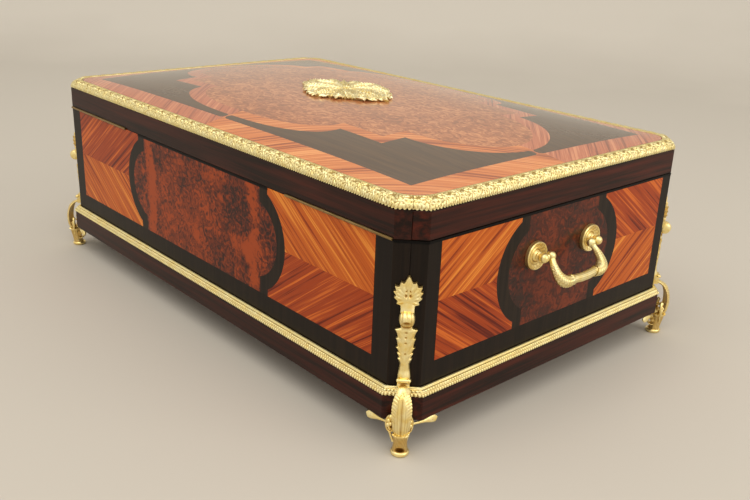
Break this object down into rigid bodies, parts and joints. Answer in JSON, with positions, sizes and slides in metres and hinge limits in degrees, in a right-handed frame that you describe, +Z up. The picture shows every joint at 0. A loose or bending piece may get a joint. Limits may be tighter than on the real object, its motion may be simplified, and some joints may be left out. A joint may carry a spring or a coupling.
{
  "type": "travelling case",
  "caption": "Long, low veneered travelling case with a hinged, gently domed lid, gilt foliate corner mounts that carry it on feet, and a swinging bail handle at each end.",
  "frame": {"origin": "on the ground under the middle of the case, at the middle of the overall box", "axes": "+X along the case, +Y to the back where the lid is hinged, +Z up"},
  "size_m": [0.661, 0.3982, 0.2307],
  "materials": {
    "rosewood": "dark rosewood veneer, polished",
    "ebony_veneer": "ebony ground with burl panels inside kingwood bands, polished",
    "marquetry_top": "tulipwood and burl marquetry on an ebony ground, high gloss polish",
    "pine": "bare softwood",
    "velvet": "deep red velvet on board",
    "gilt_brass": "cast and fire-gilt, burnished highlights and dark recesses",
    "hinge_brass": "drawn brass",
    "lock_steel": "filed steel"
  },
  "bodies": {
    "case": {"plinth_rail_back": "rosewood", "case_wall_back": "ebony_veneer", "lower_moulding_back": "gilt_brass", "plinth_rail_left": "rosewood", "case_wall_left": "ebony_veneer", "lower_moulding_left": "gilt_brass", "plinth_rail_front": "rosewood", "case_wall_front": "ebony_veneer", "lower_moulding_front": "gilt_brass", "plinth_rail_right": "rosewood", "case_wall_right": "ebony_veneer", "lower_moulding_right": "gilt_brass", "bottom_board": "pine", "base_lining": "velvet", "corner_mount_back_left": "gilt_brass", "corner_foot_back_left": "gilt_brass", "corner_mount_front_left": "gilt_brass", "corner_foot_front_left": "gilt_brass", "corner_mount_front_right": "gilt_brass", "corner_foot_front_right": "gilt_brass", "corner_mount_back_right": "gilt_brass", "corner_foot_back_right": "gilt_brass", "rosette_left_back": "gilt_brass", "bail_post_left_back": "gilt_brass", "post_nut_left_back": "hinge_brass", "rosette_left_front": "gilt_brass", "bail_post_left_front": "gilt_brass", "post_nut_left_front": "hinge_brass", "hinge_lower_leaf_left": "hinge_brass", "hinge_pin_left": "hinge_brass", "rosette_right_back": "gilt_brass", "bail_post_right_back": "gilt_brass", "post_nut_right_back": "hinge_brass", "rosette_right_front": "gilt_brass", "bail_post_right_front": "gilt_brass", "post_nut_right_front": "hinge_brass", "hinge_lower_leaf_right": "hinge_brass", "hinge_pin_right": "hinge_brass", "lock_case": "lock_steel", "keyhole_escutcheon": "gilt_brass"},
    "lid": {"lid_board": "marquetry_top", "lid_lining": "velvet", "lid_plaque": "gilt_brass", "link_plate": "hinge_brass", "link_hook_left": "hinge_brass", "link_hook_right": "hinge_brass", "lid_rail_back": "rosewood", "lid_rail_left": "rosewood", "lid_rail_front": "rosewood", "lid_rail_right": "rosewood", "top_moulding_back": "gilt_brass", "top_moulding_left": "gilt_brass", "top_moulding_front": "gilt_brass", "top_moulding_right": "gilt_brass", "hinge_upper_leaf_left": "hinge_brass", "hinge_upper_leaf_right": "hinge_brass"},
    "left_bail": {"bail_left": "gilt_brass"},
    "right_bail": {"bail_right": "gilt_brass"},
    "lock_bolt": {"lock_bolt": "lock_steel"}
  },
  "joints": [
    {"name": "lid_hinge", "type": "hinge", "parent": "case", "child": "lid", "pos_m": [0, 0.1876, 0.1782], "axis": [-1, 0, 0], "range_deg": [0, 100]},
    {"name": "left_bail_swing", "type": "hinge", "parent": "case", "child": "left_bail", "pos_m": [-0.3104, 0, 0.1383], "axis": [0, 1, 0], "range_deg": [0, 104]},
    {"name": "right_bail_swing", "type": "hinge", "parent": "case", "child": "right_bail", "pos_m": [0.3104, 0, 0.1383], "axis": [0, -1, 0], "range_deg": [0, 104]},
    {"name": "lock_bolt_slide", "type": "slide", "parent": "case", "child": "lock_bolt", "axis": [-1, 0, 0], "range_m": [0, 0.005]}
  ]
}
